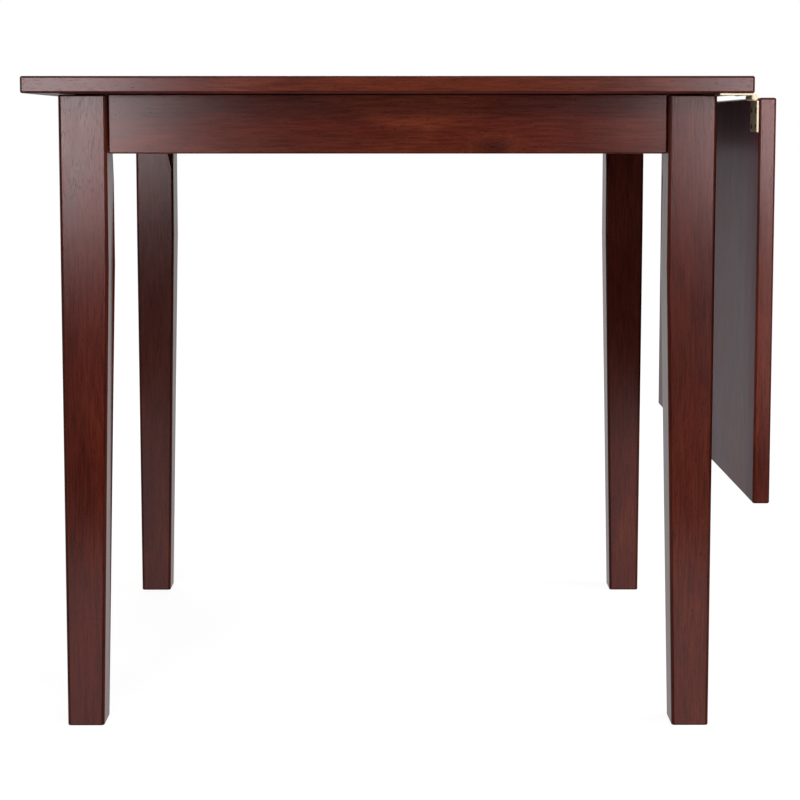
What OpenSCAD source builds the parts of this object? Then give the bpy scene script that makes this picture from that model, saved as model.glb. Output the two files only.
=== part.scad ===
// Drop-leaf dining table with one leaf on its right side, shown with the leaf hanging.
// The table stands on z = 0, X runs along the top from its plain end to the leaf joint,
// and Y runs along the joint, from the front of the table to the back.

/* [Top and leaf] */
// Height of the top's upper face above the floor
table_h = 740; // [700:1:780]
// Length of the fixed top, from its plain end to the leaf joint
top_l = 803; // [740:1:1000]
// Depth of the top and of the leaf, along the joint
top_d = 762; // [720:1:900]
// Thickness of the top and of the leaf
board_t = 19; // [18:0.5:25]
// Width of the leaf, which is how far it hangs
leaf_w = 450; // [300:1:550]
// Gap between the top and the raised leaf
joint_gap = 0.8; // [0.6:0.1:1.6]
// Width of the eased edges of the top and the leaf
board_ease = 1.5; // [0.5:0.1:3]

/* [Legs] */
// Width of the square leg above its taper
leg_w = 54; // [50:1:64]
// Width of the square foot on the floor
foot_w = 42; // [34:1:48]
// Height above the floor at which the inner faces start to taper
taper_h = 528; // [300:1:580]
// Distance from the ends of the top to the outer faces of the legs
leg_inset_x = 34; // [20:1:60]
// Distance from the long edges of the top to the outer faces of the legs
leg_inset_y = 41; // [20:1:60]
// Gap between the top of a leg and the underside of the table top
leg_top_gap = 1; // [1:0.5:8]
// Width of the eased edges of the legs
leg_ease = 2; // [0.5:0.5:4]
// Width taken off each inner face by the chamfer behind the bracket
chamfer_w = 14; // [8:1:20]
// How far the chamfer runs out below the aprons
chamfer_drop = 44; // [20:1:60]
// Height over which the chamfer grows to its full width
chamfer_run = 62; // [40:1:66]

/* [Aprons] */
// Height of the aprons
apron_h = 66.5; // [60:0.5:90]
// Thickness of the aprons
apron_t = 19; // [18:1:25]
// How far the aprons stand back from the outer faces of the legs
apron_setback = 9; // [3:1:15]
// Gap between the end of an apron and the leg
apron_end_gap = 0.6; // [0.2:0.1:0.8]
// Width of the eased edges of the aprons
apron_ease = 1; // [0.5:0.5:2]

/* [Corner brackets] */
// Thickness of the bracket's steel
bracket_t = 2; // [1.5:0.1:3]
// Height of the bracket
bracket_h = 46; // [40:1:54]
// Distance from the leg's inner corner to the slanted face of the bracket
bracket_gap = 3; // [1:0.5:8]
// Length of the flap that lies on each apron
flap_l = 28; // [24:1:40]
// How deep the bent lip sits in the saw cut of the apron
lip_l = 6; // [4:0.5:9]
// Clearance round the lip in its saw cut
lip_clear = 0.2; // [0.1:0.05:0.5]
// Radius of the hanger bolts
bolt_r = 3; // [2.5:0.5:4]
// Distance between the two bolts of a corner
bolt_spacing = 22; // [20:1:26]
// Length of bolt inside the leg
bolt_grip = 34; // [25:1:45]
// Radial clearance of the bolts in the brackets, washers and nuts
bolt_clear = 0.3; // [0.2:0.05:0.6]
// Radius of the washers
washer_r = 7; // [6:0.5:9]
// Thickness of the washers
washer_t = 1.2; // [0.8:0.1:2]
// Radius of the wing nut's hub
nut_r = 5.5; // [5:0.5:7]
// Height of the wing nut's hub
nut_h = 7; // [5:0.5:9]
// Reach of each wing from the bolt's axis
wing_reach = 14; // [12:0.5:16]
// Thickness of the wings
wing_t = 2.4; // [2:0.2:3.2]

/* [Cleats and screws] */
// Width and height of the cleats that hold the top
cleat_w = 20; // [18:1:26]
// Distance from a cleat's end to the bracket or runner beside it
cleat_clear = 8; // [4:1:20]
// Distance from a cleat's end to its first screw into the top
cleat_top_margin = 40; // [25:1:60]
// Distance from a cleat's end to its screw into the apron
cleat_side_margin = 95; // [80:1:110]
// Radius of the wood screws
screw_r = 2; // [1.75:0.05:2.25]
// Radius of the wood screws' heads
screw_head_r = 3.8; // [3.5:0.1:4.5]
// Height of the wood screws' heads
screw_head_h = 2.2; // [1.8:0.1:2.8]
// Radial clearance of a screw in its hole
screw_clear = 0.05; // [0.02:0.01:0.1]
// How deep the wood screws reach past the piece they hold
screw_bite = 12; // [10:0.5:14]

/* [Leaf supports] */
// Length of a support bar
bar_l = 480; // [420:1:520]
// Width of a support bar
bar_w = 24; // [20:1:30]
// Height of a support bar
bar_h = 26; // [20:1:30]
// Distance from the legs' outer faces to the middle of each bar
bar_y = 150; // [146:1:195]
// How far the stowed bar stands out of the apron
bar_proud = 8; // [4:1:12]
// Running clearance round a bar
bar_clear = 0.5; // [0.3:0.1:0.8]
// Cut under the tip of the bar, which leads it below the leaf
bar_lead = 10; // [4:1:14]
// Width of the runners beside each bar
runner_w = 18; // [14:1:24]
// Length of the runners
runner_l = 180; // [140:1:220]
// Distance from a runner's end to its screws
runner_margin = 55; // [50:1:65]
// Length along the bar of the keeper strap
keeper_l = 30; // [20:1:36]
// Thickness of the keeper strap
keeper_t = 10; // [8:1:14]
// Distance from the runners' inner end to the keeper strap
keeper_inset = 8; // [2:1:12]
// Radius of the stop pin in the bar's tail
stop_r = 4; // [3:0.5:5]
// How far the stop pin stands below the bar
stop_drop = 6; // [4:0.5:9]
// How deep the stop pin sits in the bar
stop_depth = 18; // [12:1:19]
// Distance from the bar's inner end to the stop pin
stop_inset = 15; // [10:1:25]

/* [Hinges] */
// Depth of the hinge axis below the underside of the top
axis_drop = 4.3; // [4:0.1:6]
// Length of each hinge along its axis
hinge_l = 38; // [36:1:60]
// Distance from the long edges of the top to the outer hinges
hinge_inset = 2.5; // [2:0.5:30]
// Reach of the plates under the top from the axis, past the legs' outer faces
top_plate_w = 38; // [32:0.5:38]
// Reach of the plates on the leaf from the axis
leaf_plate_w = 38; // [34:1:45]
// Thickness of the hinge plates
plate_t = 2; // [1.6:0.1:2.4]
// Outer radius of the hinge knuckles
knuckle_r = 3.5; // [3.2:0.1:3.8]
// Number of knuckles on a hinge
knuckle_count = 5; // [3:2:7]
// Gap between neighbouring knuckles
knuckle_gap = 0.3; // [0.2:0.1:0.5]
// Gap between a knuckle and the plate cut away round it
notch_gap = 0.5; // [0.4:0.1:1]
// Radius of the hinge pin
pin_r = 1.75; // [1.5:0.05:2]
// Running clearance of the hinge pin
pin_clear = 0.05; // [0.02:0.01:0.09]
// Thickness of the head at each end of the hinge pin
pin_head_t = 1.2; // [0.8:0.1:2]
// Distance from the axis to the near row of hinge screws
screw_row_near = 14; // [11:0.5:16]
// Distance from the far edge of a plate to its far row of screws
row_margin = 6; // [4.5:0.5:7]
// Distance from a hinge's middle to its screws
screw_column = 12; // [10:0.5:14]
// Radius of the hinge screws
hinge_screw_r = 1.75; // [1.5:0.05:2]
// Length of the hinge screws below the face of the plate
hinge_screw_l = 15; // [12:0.5:16]
// Radius of the hinge screws' heads
hinge_head_r = 3.6; // [3.2:0.1:4]
// Height of the domed part of the hinge screws' heads
hinge_dome_h = 0.8; // [0.5:0.1:1.2]

/* [Hidden] */

// Colours
walnut = [0.34, 0.16, 0.12];
plain_wood = [0.62, 0.45, 0.30];
brass = [0.80, 0.63, 0.33];
steel = [0.62, 0.64, 0.66];

// Overlap of shapes that join inside one piece
eps = 0.01;
// How far a cut starts outside the piece that it goes into
cut_past = 1;
// How far a screw's hole goes past its tip
screw_room = 0.5;
// Length of a screw's or bolt's tip, and its radius at the end, as shares of the shank's radius
tip_length = 2;
tip_width = 1 / 4;
// Length and width of a head's cross recess, as shares of the head's radius
slot_length = 1.2;
slot_width = 1 / 4;
// Smoothness of round pieces
$fn = 48;

// Sides of the frame and its corners share one numbering: each turns a quarter further
FRONT = 0;
RIGHT = 1;
BACK = 2;
LEFT = 3;
SIDES = [FRONT, RIGHT, BACK, LEFT];
ENDS = [-1, 1];

// Whole table, centred on X and Y with the leaf hanging
total_l = top_l + joint_gap / 2 + axis_drop + board_t;
top_x0 = -total_l / 2;
top_x1 = top_x0 + top_l;
underside = table_h - board_t;

// Hinge axis
axis_x = top_x1 + joint_gap / 2;
axis_z = underside - axis_drop;

// Frame of legs and aprons
frame_l = top_l - 2 * leg_inset_x;
frame_d = top_d - 2 * leg_inset_y;
frame_x = top_x0 + top_l / 2;
leg_h = underside - leg_top_gap;
apron_z = underside - apron_h;
apron_in = apron_setback + apron_t;

// Chamfer on the inner corner of a leg, measured along the diagonal from its outer corner
corner_reach = leg_w * sqrt(2);
chamfer_depth = chamfer_w / sqrt(2);
chamfer_z = apron_z - chamfer_drop;

// Bracket, in the plan of a corner: its slanted face crosses at equal distances from both outer faces
bracket_plane = 2 * leg_w + bracket_gap * sqrt(2);
flap_start = bracket_plane - apron_in;
flap_end = flap_start + flap_l;
bracket_z = apron_z + apron_h / 2;
bolt_heights = [bracket_z - bolt_spacing / 2, bracket_z + bolt_spacing / 2];
bracket_face = bracket_plane / sqrt(2) + bracket_t;
bolt_start = corner_reach - chamfer_depth - bolt_grip;
nut_start = bracket_face + washer_t;
// Turn of the wings on the lower and the upper nut
wing_turns = [75, 110];
// How far a bolt's end shows past its nut
bolt_tail = 3;

// Cleats
cleat_z = underside - cleat_w;

// Support bars
bar_place = frame_d / 2 - bar_y;
bar_tip_x = frame_x + frame_l / 2 - apron_setback + bar_proud;
bar_top = underside - bar_clear;
runner_x1 = frame_x + frame_l / 2 - apron_in;
runner_h = bar_h + 2 * bar_clear;
runner_z = underside - runner_h;
runner_offset = bar_w / 2 + bar_clear;
keeper_x0 = runner_x1 - runner_l + keeper_inset;
stop_x = bar_tip_x - bar_l + stop_inset;

// Hinges: places of their middles along the axis
hinge_y = top_d / 2 - hinge_inset - hinge_l / 2;
hinge_places = [-hinge_y, 0, hinge_y];
knuckle_pitch = hinge_l / knuckle_count;

// Length of the side of the frame, over the legs
function side_l(side) = side % 2 == 0 ? frame_l : frame_d;
function apron_l(side) = side_l(side) - 2 * (leg_w + apron_end_gap);
function between_brackets(side) = side_l(side) - 2 * (flap_end + cleat_clear);
function between_runners() = 2 * (bar_place - runner_offset - runner_w - cleat_clear);
function cleat_l(side) = side == RIGHT
    ? min(between_brackets(side), between_runners())
    : between_brackets(side);
function swapped(points) = [for (i = [len(points) - 1 : -1 : 0]) [points[i].y, points[i].x]];

// Frames of reference

// X along a side of the frame from its middle, Y inwards from the legs' outer faces
module at_side(side) {
    reach = side % 2 == 0 ? frame_d / 2 : frame_l / 2;
    translate([frame_x, 0, 0]) rotate([0, 0, 90 * side]) translate([0, -reach, 0]) children();
}

// Origin at the outer corner of a leg, X and Y inwards
module at_corner(corner) {
    at_side(corner) translate([-side_l(corner) / 2, 0, 0]) children();
}

// Z outwards along the diagonal of a corner, at a height
module on_diagonal(height) {
    rotate([0, 0, 45]) translate([0, 0, height]) rotate([0, 90, 0]) children();
}

// Z into an apron from its inner face, at a place along it and a height
module into_apron(x, z, seat) {
    translate([x, seat, z]) rotate([90, 0, 0]) children();
}

// Leaf as it lies when raised, turned down about the hinge axis
module hanging() {
    translate([axis_x, 0, axis_z]) rotate([0, 90, 0]) children();
}

module raised() {
    translate([axis_x, 0, axis_z]) children();
}

// Shapes

module eased_rect(w, h, ease) {
    polygon([
        [ease, 0], [w - ease, 0], [w, ease], [w, h - ease],
        [w - ease, h], [ease, h], [0, h - ease], [0, ease]
    ]);
}

// Block with its lowest corner at the origin and all its edges eased
module eased_box(size, ease) {
    intersection() {
        linear_extrude(size.z) eased_rect(size.x, size.y, ease);
        translate([0, size.y, 0])
            rotate([90, 0, 0]) linear_extrude(size.y) eased_rect(size.x, size.z, ease);
        rotate([90, 0, 90]) linear_extrude(size.x) eased_rect(size.y, size.z, ease);
    }
}

// Domed head on the face z = 0, towards -Z, with a cross recess
module screw_dome(head_r, head_h, slot_depth) {
    dome_r = (head_r * head_r + head_h * head_h) / (2 * head_h);
    slot_w = head_r * slot_width;
    slot_l = head_r * slot_length;
    difference() {
        intersection() {
            translate([0, 0, dome_r - head_h]) sphere(dome_r);
            translate([0, 0, -head_h]) cylinder(r = head_r, h = head_h);
        }
        for (turn = [0, 90]) rotate([0, 0, turn])
            translate([-slot_l / 2, -slot_w / 2, -head_h - eps])
                cube([slot_l, slot_w, slot_depth + eps]);
    }
}

// Wood screw seated on z = 0 and driven towards +Z
module wood_screw(length) {
    tip = screw_r * tip_length;
    screw_dome(screw_head_r, screw_head_h, screw_head_h / 2);
    translate([0, 0, -eps]) cylinder(r = screw_r, h = length - tip + eps);
    translate([0, 0, length - tip]) cylinder(r1 = screw_r, r2 = screw_r * tip_width, h = tip);
}

module screw_hole(r, length) {
    translate([0, 0, -cut_past])
        cylinder(r = r + screw_clear, h = cut_past + length + screw_room);
}

// Countersunk hinge screw whose plate face is z = 0, driven towards +Z
module hinge_screw() {
    tip = hinge_screw_r * tip_length;
    screw_dome(hinge_head_r, hinge_dome_h, hinge_dome_h / 2);
    translate([0, 0, -eps]) cylinder(r1 = hinge_head_r, r2 = hinge_screw_r, h = plate_t + eps);
    cylinder(r = hinge_screw_r, h = hinge_screw_l - tip);
    translate([0, 0, hinge_screw_l - tip])
        cylinder(r1 = hinge_screw_r, r2 = hinge_screw_r * tip_width, h = tip);
}

module hinge_screw_hole() {
    translate([0, 0, -cut_past])
        cylinder(r = hinge_screw_r + screw_clear, h = cut_past + hinge_screw_l + screw_room);
}

// Countersink in a plate, a little wider than the screw's head
module countersink() {
    translate([0, 0, -eps])
        cylinder(
            r1 = hinge_head_r + screw_clear, r2 = hinge_screw_r + screw_clear,
            h = plate_t + 2 * eps
        );
}

// Places where screws go

// Face of every bracket screw, in the frame of each end of an apron's side
module each_bracket_screw(side, seat) {
    for (end = ENDS, z = bolt_heights)
        into_apron(end * (side_l(side) / 2 - flap_start - flap_l / 2), z, seat) children();
}

module each_cleat_top_screw(side) {
    reach = cleat_l(side) / 2 - cleat_top_margin;
    at_side(side) for (x = [-reach, 0, reach])
        translate([x, apron_in + cleat_w / 2, cleat_z]) children();
}

module each_cleat_apron_screw(side) {
    reach = cleat_l(side) / 2 - cleat_side_margin;
    at_side(side) for (x = [-reach, reach])
        into_apron(x, cleat_z + cleat_w / 2, apron_in + cleat_w) children();
}

// Middles of the runners beside the bar on one half of the table, outer and inner
module each_runner(half) {
    for (beside = ENDS) translate([0, half * bar_place + beside * (runner_offset + runner_w / 2), 0])
        children();
}

module each_runner_screw(half) {
    for (x = [runner_x1 - runner_margin, runner_x1 - runner_l + runner_margin])
        each_runner(half) translate([x, 0, runner_z]) children();
}

module each_keeper_screw(half) {
    each_runner(half) translate([keeper_x0 + keeper_l / 2, 0, runner_z - keeper_t]) children();
}

// Screws of a plate that reaches that far on the +X side of the axis, at its lower face
module each_hinge_screw(place, plate_w) {
    for (x = [screw_row_near, plate_w - row_margin], y = [-screw_column, screw_column])
        translate([x, place + y, axis_drop - plate_t]) children();
}

module each_leaf_hinge_screw(place) {
    each_hinge_screw(place, leaf_plate_w) children();
}

module each_top_hinge_screw(place) {
    mirror([1, 0, 0]) each_hinge_screw(place, top_plate_w) children();
}

// Boards

module table_top() {
    color(walnut) difference() {
        translate([top_x0, -top_d / 2, underside]) eased_box([top_l, top_d, board_t], board_ease);
        for (side = SIDES) each_cleat_top_screw(side) screw_hole(screw_r, cleat_w + screw_bite);
        for (half = ENDS) each_runner_screw(half) screw_hole(screw_r, runner_h + screw_bite);
        raised() for (place = hinge_places) each_top_hinge_screw(place) hinge_screw_hole();
    }
}

module drop_leaf() {
    color(walnut) hanging() difference() {
        translate([joint_gap / 2, -top_d / 2, axis_drop])
            eased_box([leaf_w, top_d, board_t], board_ease);
        for (place = hinge_places) each_leaf_hinge_screw(place) hinge_screw_hole();
    }
}

// Aprons

module apron(side) {
    color(walnut) at_side(side) difference() {
        translate([-apron_l(side) / 2, apron_setback, apron_z])
            eased_box([apron_l(side), apron_t, apron_h], apron_ease);
        for (end = ENDS) lip_cut(end * (side_l(side) / 2 - flap_end + bracket_t / 2));
        each_bracket_screw(side, apron_in + bracket_t) screw_hole(screw_r, bracket_t + screw_bite);
    }
}

// Saw cut in an apron's inner face, which takes the lip of a bracket
module lip_cut(x) {
    cut_w = bracket_t + 2 * lip_clear;
    cut_h = bracket_h + 2 * lip_clear;
    translate([x - cut_w / 2, apron_in - lip_l - lip_clear, bracket_z - cut_h / 2])
        cube([cut_w, lip_l + lip_clear + cut_past, cut_h]);
}

module apron_with_cleat_holes(side) {
    difference() {
        apron(side);
        each_cleat_apron_screw(side) screw_hole(screw_r, cleat_w + screw_bite);
    }
}

module apron_front() apron_with_cleat_holes(FRONT);
module apron_back() apron_with_cleat_holes(BACK);
module apron_left() apron_with_cleat_holes(LEFT);

// The right apron has a notch for each support bar
module apron_right() {
    notch_w = bar_w + 2 * bar_clear;
    color(walnut) difference() {
        apron_with_cleat_holes(RIGHT);
        for (half = ENDS)
            translate([runner_x1 - cut_past, half * bar_place - notch_w / 2, runner_z])
                cube([apron_t + 2 * cut_past, notch_w, runner_h + cut_past]);
    }
}

// Legs

module leg(corner) {
    color(walnut) at_corner(corner) difference() {
        intersection() {
            linear_extrude(leg_h) eased_rect(leg_w, leg_w, leg_ease);
            translate([0, leg_w, 0]) rotate([90, 0, 0]) linear_extrude(leg_w) leg_taper();
            rotate([90, 0, 90]) linear_extrude(leg_w) leg_taper();
        }
        rotate([0, 0, 45]) rotate([90, 0, 0])
            linear_extrude(2 * leg_w, center = true) leg_chamfer();
        for (z = bolt_heights) on_diagonal(z)
            translate([0, 0, bolt_start - screw_room])
                cylinder(r = bolt_r + screw_clear, h = screw_room + bolt_grip + chamfer_depth + cut_past);
    }
}

// Side view of a leg from its outer face, tapered on the inner side
module leg_taper() {
    polygon([[0, 0], [foot_w, 0], [leg_w, taper_h], [leg_w, leg_h], [0, leg_h]]);
}

// Side view along the diagonal of what the chamfer takes off the inner corner
module leg_chamfer() {
    face = corner_reach - chamfer_depth;
    past = corner_reach + cut_past;
    polygon([
        [corner_reach, chamfer_z], [face, chamfer_z + chamfer_run], [face, leg_h + cut_past],
        [past, leg_h + cut_past], [past, chamfer_z]
    ]);
}

module leg_front_left() leg(FRONT);
module leg_front_right() leg(RIGHT);
module leg_back_right() leg(BACK);
module leg_back_left() leg(LEFT);

// Corner brackets and bolts

// Plan of the bent strip: lip, flap, slanted face, flap and lip
module bracket_plan() {
    outside = [
        [flap_end, apron_in - lip_l], [flap_end - bracket_t, apron_in - lip_l],
        [flap_end - bracket_t, apron_in], [flap_start, apron_in]
    ];
    inside = [
        [flap_start + bracket_t * (sqrt(2) - 1), apron_in + bracket_t],
        [flap_end, apron_in + bracket_t]
    ];
    polygon(concat(outside, swapped(outside), swapped(inside), inside));
}

module corner_bracket(corner) {
    color(steel) at_corner(corner) difference() {
        translate([0, 0, bracket_z - bracket_h / 2]) linear_extrude(bracket_h) bracket_plan();
        for (z = bolt_heights) {
            on_diagonal(z) cylinder(r = bolt_r + bolt_clear, h = bracket_face + cut_past);
            flap_screw_places(z) screw_hole(screw_r, bracket_t);
        }
    }
}

// Face of the screws on both flaps of a bracket, in the frame of its corner
module flap_screw_places(z) {
    along = flap_start + flap_l / 2;
    face = apron_in + bracket_t;
    translate([along, face, z]) rotate([90, 0, 0]) children();
    translate([face, along, z]) rotate([0, -90, 0]) children();
}

module corner_bracket_front_left() corner_bracket(FRONT);
module corner_bracket_front_right() corner_bracket(RIGHT);
module corner_bracket_back_right() corner_bracket(BACK);
module corner_bracket_back_left() corner_bracket(LEFT);

module hanger_bolts() {
    bolt_end = nut_start + nut_h + bolt_tail;
    tip = bolt_r * tip_length;
    color(steel) for (corner = SIDES, z = bolt_heights) at_corner(corner) on_diagonal(z) {
        translate([0, 0, bolt_start]) cylinder(r1 = bolt_r * tip_width, r2 = bolt_r, h = tip);
        translate([0, 0, bolt_start + tip - eps])
            cylinder(r = bolt_r, h = bolt_end - bolt_start - tip);
    }
}

module bolt_washers() {
    color(steel) for (corner = SIDES, z = bolt_heights) at_corner(corner) on_diagonal(z)
        translate([0, 0, bracket_face]) difference() {
            cylinder(r = washer_r, h = washer_t);
            translate([0, 0, -cut_past])
                cylinder(r = bolt_r + bolt_clear, h = washer_t + 2 * cut_past);
        }
}

module wing_nuts() {
    color(steel) for (corner = SIDES, i = [0 : len(bolt_heights) - 1])
        at_corner(corner) on_diagonal(bolt_heights[i])
            translate([0, 0, nut_start]) rotate([0, 0, wing_turns[i]]) wing_nut();
}

// Hub with two round-ended wings that rise past it
module wing_nut() {
    lobe_r = nut_h / 2;
    difference() {
        union() {
            cylinder(r = nut_r, h = nut_h);
            for (side = ENDS) rotate([90, 0, 0]) linear_extrude(wing_t, center = true) {
                translate([side * (wing_reach - lobe_r), nut_h]) circle(lobe_r);
                polygon([
                    [0, nut_h / 4], [side * (wing_reach - lobe_r), nut_h / 2],
                    [side * wing_reach, nut_h], [side * (wing_reach - 2 * lobe_r), nut_h],
                    [0, nut_h]
                ]);
            }
        }
        translate([0, 0, -cut_past])
            cylinder(r = bolt_r + screw_clear, h = 2 * (nut_h + cut_past));
    }
}

module bracket_screws() {
    color(steel) for (side = SIDES) at_side(side)
        each_bracket_screw(side, apron_in + bracket_t) wood_screw(bracket_t + screw_bite);
}

// Cleats that hold the top

module cleat(side) {
    color(plain_wood) difference() {
        at_side(side) translate([-cleat_l(side) / 2, apron_in, cleat_z])
            eased_box([cleat_l(side), cleat_w, cleat_w], apron_ease);
        each_cleat_top_screw(side) screw_hole(screw_r, cleat_w);
        each_cleat_apron_screw(side) screw_hole(screw_r, cleat_w);
    }
}

module cleat_front() cleat(FRONT);
module cleat_right() cleat(RIGHT);
module cleat_back() cleat(BACK);
module cleat_left() cleat(LEFT);

module cleat_top_screws() {
    color(steel) for (side = SIDES) each_cleat_top_screw(side) wood_screw(cleat_w + screw_bite);
}

module cleat_apron_screws() {
    color(steel) for (side = SIDES) each_cleat_apron_screw(side) wood_screw(cleat_w + screw_bite);
}

// Pull-out supports of the leaf

module support_bar(half) {
    color(plain_wood) difference() {
        translate([bar_tip_x - bar_l, half * bar_place - bar_w / 2, bar_top - bar_h])
            eased_box([bar_l, bar_w, bar_h], apron_ease);
        translate([bar_tip_x, half * bar_place, bar_top - bar_h])
            rotate([0, 45, 0])
                cube([bar_lead * sqrt(2), bar_w + 2 * cut_past, bar_lead * sqrt(2)], center = true);
        translate([stop_x, half * bar_place, bar_top - bar_h - cut_past])
            cylinder(r = stop_r + screw_clear, h = cut_past + stop_depth);
    }
}

module support_bar_front() support_bar(-1);
module support_bar_back() support_bar(1);

module bar_stop_pin(half) {
    color(plain_wood) translate([stop_x, half * bar_place, bar_top - bar_h - stop_drop])
        cylinder(r = stop_r, h = stop_drop + stop_depth);
}

module bar_stop_pin_front() bar_stop_pin(-1);
module bar_stop_pin_back() bar_stop_pin(1);

// Runner on one side of a bar: the outer one is further from the table's middle
module bar_runner(half, beside) {
    y = half * bar_place + beside * (runner_offset + runner_w / 2);
    color(plain_wood) difference() {
        translate([runner_x1 - runner_l, y - runner_w / 2, runner_z])
            eased_box([runner_l, runner_w, runner_h], apron_ease);
        each_runner_screw(half) screw_hole(screw_r, runner_h);
        each_keeper_screw(half) screw_hole(screw_r, keeper_t + screw_bite);
    }
}

module bar_runner_front_outer() bar_runner(-1, -1);
module bar_runner_front_inner() bar_runner(-1, 1);
module bar_runner_back_inner() bar_runner(1, -1);
module bar_runner_back_outer() bar_runner(1, 1);

module bar_keeper(half) {
    width = 2 * (runner_offset + runner_w);
    color(plain_wood) difference() {
        translate([keeper_x0, half * bar_place - width / 2, runner_z - keeper_t])
            eased_box([keeper_l, width, keeper_t], apron_ease);
        each_keeper_screw(half) screw_hole(screw_r, keeper_t);
    }
}

module bar_keeper_front() bar_keeper(-1);
module bar_keeper_back() bar_keeper(1);

module runner_screws() {
    color(steel) for (half = ENDS) each_runner_screw(half) wood_screw(runner_h + screw_bite);
}

module keeper_screws() {
    color(steel) for (half = ENDS) each_keeper_screw(half) wood_screw(keeper_t + screw_bite);
}

// Hinges

// Plate and knuckles on the +X side of the axis, as on a raised leaf
// plate_w: reach of the plate from the axis
// first: number of the first of its knuckles, each second one of which it has
module hinge_half(place, plate_w, first) {
    translate([0, place - hinge_l / 2, 0]) difference() {
        union() {
            difference() {
                translate([joint_gap / 2, 0, axis_drop - plate_t])
                    cube([plate_w - joint_gap / 2, hinge_l, plate_t]);
                for (i = [1 - first : 2 : knuckle_count - 1])
                    translate([0, i * knuckle_pitch - knuckle_gap / 2, 0])
                        cube([
                            knuckle_r + notch_gap, knuckle_pitch + knuckle_gap, axis_drop + cut_past
                        ]);
            }
            for (i = [first : 2 : knuckle_count - 1])
                translate([0, i * knuckle_pitch + knuckle_gap / 2, 0])
                    rotate([-90, 0, 0]) cylinder(r = knuckle_r, h = knuckle_pitch - knuckle_gap);
        }
        translate([0, -cut_past, 0]) rotate([-90, 0, 0])
            cylinder(r = pin_r + pin_clear, h = hinge_l + 2 * cut_past);
        each_hinge_screw(hinge_l / 2, plate_w) countersink();
    }
}

module hinge_top_plate(place) {
    color(brass) raised() mirror([1, 0, 0]) hinge_half(place, top_plate_w, 0);
}

module hinge_leaf_plate(place) {
    color(brass) hanging() hinge_half(place, leaf_plate_w, 1);
}

// Pin with a flat round head against the outermost knuckle at each end
module hinge_pin(place) {
    head_place = hinge_l / 2 - knuckle_gap / 2 + pin_head_t / 2;
    color(brass) raised() translate([0, place, 0]) rotate([90, 0, 0]) {
        cylinder(r = pin_r, h = 2 * head_place, center = true);
        for (end = ENDS) translate([0, 0, end * head_place])
            cylinder(r = (knuckle_r + pin_r) / 2, h = pin_head_t, center = true);
    }
}

module hinge_top_plate_front() hinge_top_plate(hinge_places[0]);
module hinge_top_plate_middle() hinge_top_plate(hinge_places[1]);
module hinge_top_plate_back() hinge_top_plate(hinge_places[2]);
module hinge_leaf_plate_front() hinge_leaf_plate(hinge_places[0]);
module hinge_leaf_plate_middle() hinge_leaf_plate(hinge_places[1]);
module hinge_leaf_plate_back() hinge_leaf_plate(hinge_places[2]);
module hinge_pin_front() hinge_pin(hinge_places[0]);
module hinge_pin_middle() hinge_pin(hinge_places[1]);
module hinge_pin_back() hinge_pin(hinge_places[2]);

module hinge_top_screws() {
    color(brass) raised() for (place = hinge_places) each_top_hinge_screw(place) hinge_screw();
}

module hinge_leaf_screws() {
    color(brass) hanging() for (place = hinge_places) each_leaf_hinge_screw(place) hinge_screw();
}

table_top();
drop_leaf();
apron_front();
apron_right();
apron_back();
apron_left();
leg_front_left();
leg_front_right();
leg_back_right();
leg_back_left();
corner_bracket_front_left();
corner_bracket_front_right();
corner_bracket_back_right();
corner_bracket_back_left();
hanger_bolts();
bolt_washers();
wing_nuts();
bracket_screws();
cleat_front();
cleat_right();
cleat_back();
cleat_left();
cleat_top_screws();
cleat_apron_screws();
support_bar_front();
support_bar_back();
bar_stop_pin_front();
bar_stop_pin_back();
bar_runner_front_outer();
bar_runner_front_inner();
bar_runner_back_inner();
bar_runner_back_outer();
bar_keeper_front();
bar_keeper_back();
runner_screws();
keeper_screws();
hinge_top_plate_front();
hinge_top_plate_middle();
hinge_top_plate_back();
hinge_leaf_plate_front();
hinge_leaf_plate_middle();
hinge_leaf_plate_back();
hinge_pin_front();
hinge_pin_middle();
hinge_pin_back();
hinge_top_screws();
hinge_leaf_screws();
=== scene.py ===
# Drop-leaf dining table: the looks of its boards, legs and fittings, and the studio round it.
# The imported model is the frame: every size and place here comes from its pieces.

import math

import bmesh
import bpy
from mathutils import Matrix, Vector


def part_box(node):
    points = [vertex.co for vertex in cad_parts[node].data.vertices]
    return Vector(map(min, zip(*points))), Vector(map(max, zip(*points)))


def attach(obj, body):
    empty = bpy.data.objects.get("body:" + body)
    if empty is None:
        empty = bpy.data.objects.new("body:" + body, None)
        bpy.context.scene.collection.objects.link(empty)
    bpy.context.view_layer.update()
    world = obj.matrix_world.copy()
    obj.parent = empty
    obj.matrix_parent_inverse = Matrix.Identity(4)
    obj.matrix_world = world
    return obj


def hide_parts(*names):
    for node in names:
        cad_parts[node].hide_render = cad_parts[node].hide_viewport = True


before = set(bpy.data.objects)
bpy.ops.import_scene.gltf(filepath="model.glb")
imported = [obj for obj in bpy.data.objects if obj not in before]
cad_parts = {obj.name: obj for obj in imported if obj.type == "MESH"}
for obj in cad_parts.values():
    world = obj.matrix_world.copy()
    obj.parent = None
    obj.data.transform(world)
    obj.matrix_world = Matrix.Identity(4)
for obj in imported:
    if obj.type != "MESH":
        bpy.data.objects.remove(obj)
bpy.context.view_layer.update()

bl_info = {
    "name": "Drop-leaf dining table",
    "version": (1, 0, 0),
    "blender": (4, 5, 0),
    "location": "View3D > Sidebar > Table",
    "description": "Dresses the drop-leaf table in stained walnut, brass and steel",
    "category": "Object",
}

X, Y, Z = 0, 1, 2
CORNERS = ("front_left", "front_right", "back_right", "back_left")
SIDES = ("front", "right", "back", "left")
HINGES = ("front", "middle", "back")
HALVES = ("front", "back")

# How far a cutter reaches past the piece that it cuts
PAST = 0.002
# How near two points are that count as the same
NEAR = 0.0005
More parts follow.
